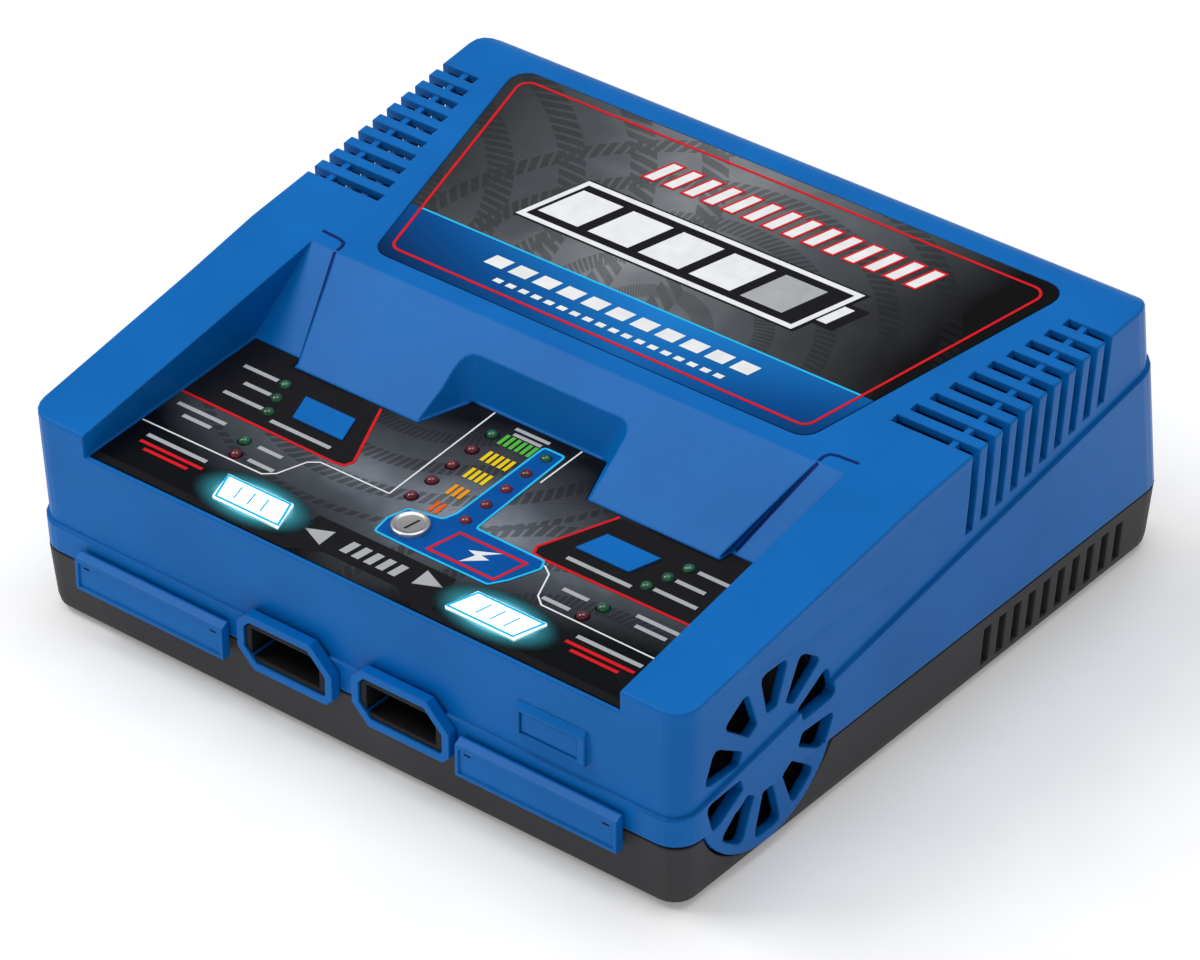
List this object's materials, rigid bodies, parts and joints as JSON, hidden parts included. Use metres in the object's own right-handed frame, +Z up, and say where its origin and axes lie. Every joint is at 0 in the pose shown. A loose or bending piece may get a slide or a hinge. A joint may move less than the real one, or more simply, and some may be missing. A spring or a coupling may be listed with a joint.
{
  "type": "balance battery charger",
  "caption": "Mains balance charger with a sloped housing, control panel of keys and lamps, battery ports, hinged port covers and a side fan.",
  "frame": {"origin": "on the standing surface, under the middle of the bounding box", "axes": "+X to the charger's right as the operator at -Y sees it, +Y to the rear, +Z up"},
  "size_m": [0.2088, 0.2003, 0.0808],
  "materials": {
    "blue_plastic": "fine satin moulding texture",
    "grey_plastic": "fine matt moulding texture",
    "black_plastic": "plain moulded",
    "printed_label": "printed film with a red outline and a blue band",
    "printed_overlay": "printed film in greys with red and white rules",
    "lit_lens": "translucent, lit white with a cyan rim",
    "green_lamp": "clear dark green lamp, off",
    "red_lamp": "clear dark red lamp, off",
    "steel": "satin",
    "aluminium": "extruded",
    "brass": "plated",
    "circuit_board": "solder resist",
    "transformer_winding": "taped winding",
    "capacitor_sleeve": "shrink sleeve",
    "cream_plastic": "moulded connector",
    "rubber": "matt"
  },
  "bodies": {
    "housing": {"upper_housing": "blue_plastic", "lower_tray": "grey_plastic", "top_label": "printed_label", "control_overlay": "printed_overlay", "status_lamp_left_1": "green_lamp", "status_lamp_left_2": "red_lamp", "status_lamp_left_3": "red_lamp", "status_lamp_left_4": "red_lamp", "status_lamp_left_5": "red_lamp", "mode_lamp_left_1": "green_lamp", "mode_lamp_left_2": "green_lamp", "mode_lamp_left_3": "green_lamp", "cell_lamp_left_1": "green_lamp", "cell_lamp_left_2": "red_lamp", "status_lamp_right_1": "green_lamp", "status_lamp_right_2": "red_lamp", "status_lamp_right_3": "red_lamp", "status_lamp_right_4": "red_lamp", "status_lamp_right_5": "red_lamp", "mode_lamp_right_1": "green_lamp", "mode_lamp_right_2": "green_lamp", "mode_lamp_right_3": "green_lamp", "cell_lamp_right_1": "green_lamp", "cell_lamp_right_2": "red_lamp", "battery_port_bezel_left": "blue_plastic", "battery_port_bezel_right": "blue_plastic", "battery_socket_left": "black_plastic", "battery_socket_right": "black_plastic", "balance_socket_left": "cream_plastic", "balance_socket_right": "cream_plastic", "service_port_socket": "steel", "fan_frame": "black_plastic", "control_board": "circuit_board", "power_board": "circuit_board", "transformer": "transformer_winding", "heat_sink": "aluminium", "capacitor_1": "capacitor_sleeve", "capacitor_2": "capacitor_sleeve", "mains_inlet": "black_plastic", "inlet_pin_left": "brass", "inlet_pin_right": "brass", "housing_screw_1": "steel", "housing_screw_2": "steel", "housing_screw_3": "steel", "housing_screw_4": "steel", "foot_1": "rubber", "foot_2": "rubber", "foot_3": "rubber", "foot_4": "rubber"},
    "start_key_left": {"start_key_left": "lit_lens"},
    "start_key_right": {"start_key_right": "lit_lens"},
    "mode_key_left": {"mode_key_left": "blue_plastic"},
    "mode_key_right": {"mode_key_right": "blue_plastic"},
    "round_key": {"round_key": "steel"},
    "port_cover_left": {"port_cover_left": "blue_plastic"},
    "port_cover_right": {"port_cover_right": "blue_plastic"},
    "service_port_cover": {"service_port_cover": "blue_plastic"},
    "fan_rotor": {"fan_rotor": "black_plastic"}
  },
  "joints": [
    {"name": "start_key_left_press", "type": "slide", "parent": "housing", "child": "start_key_left", "axis": [0, 0.051, -0.9987], "range_m": [0, 0.0005], "stiffness_N_per_m": 400},
    {"name": "start_key_right_press", "type": "slide", "parent": "housing", "child": "start_key_right", "axis": [0, 0.051, -0.9987], "range_m": [0, 0.0005], "stiffness_N_per_m": 400},
    {"name": "mode_key_left_press", "type": "slide", "parent": "housing", "child": "mode_key_left", "axis": [0, 0.051, -0.9987], "range_m": [0, 0.0005], "stiffness_N_per_m": 400},
    {"name": "mode_key_right_press", "type": "slide", "parent": "housing", "child": "mode_key_right", "axis": [0, 0.051, -0.9987], "range_m": [0, 0.0005], "stiffness_N_per_m": 400},
    {"name": "round_key_press", "type": "slide", "parent": "housing", "child": "round_key", "axis": [0, 0.051, -0.9987], "range_m": [0, 0.0005], "stiffness_N_per_m": 400},
    {"name": "port_cover_left_hinge", "type": "hinge", "parent": "housing", "child": "port_cover_left", "pos_m": [-0.06, -0.0987, 0.0156], "axis": [1, 0, 0], "range_deg": [0, 100]},
    {"name": "port_cover_right_hinge", "type": "hinge", "parent": "housing", "child": "port_cover_right", "pos_m": [0.06, -0.0987, 0.0156], "axis": [1, 0, 0], "range_deg": [0, 100]},
    {"name": "service_port_cover_pull", "type": "slide", "parent": "housing", "child": "service_port_cover", "axis": [0, -1, 0], "range_m": [0, 0.012]},
    {"name": "fan_spin", "type": "hinge", "parent": "housing", "child": "fan_rotor", "pos_m": [0.0903, -0.0638, 0.0304], "axis": [1, 0, 0], "continuous": true}
  ]
}
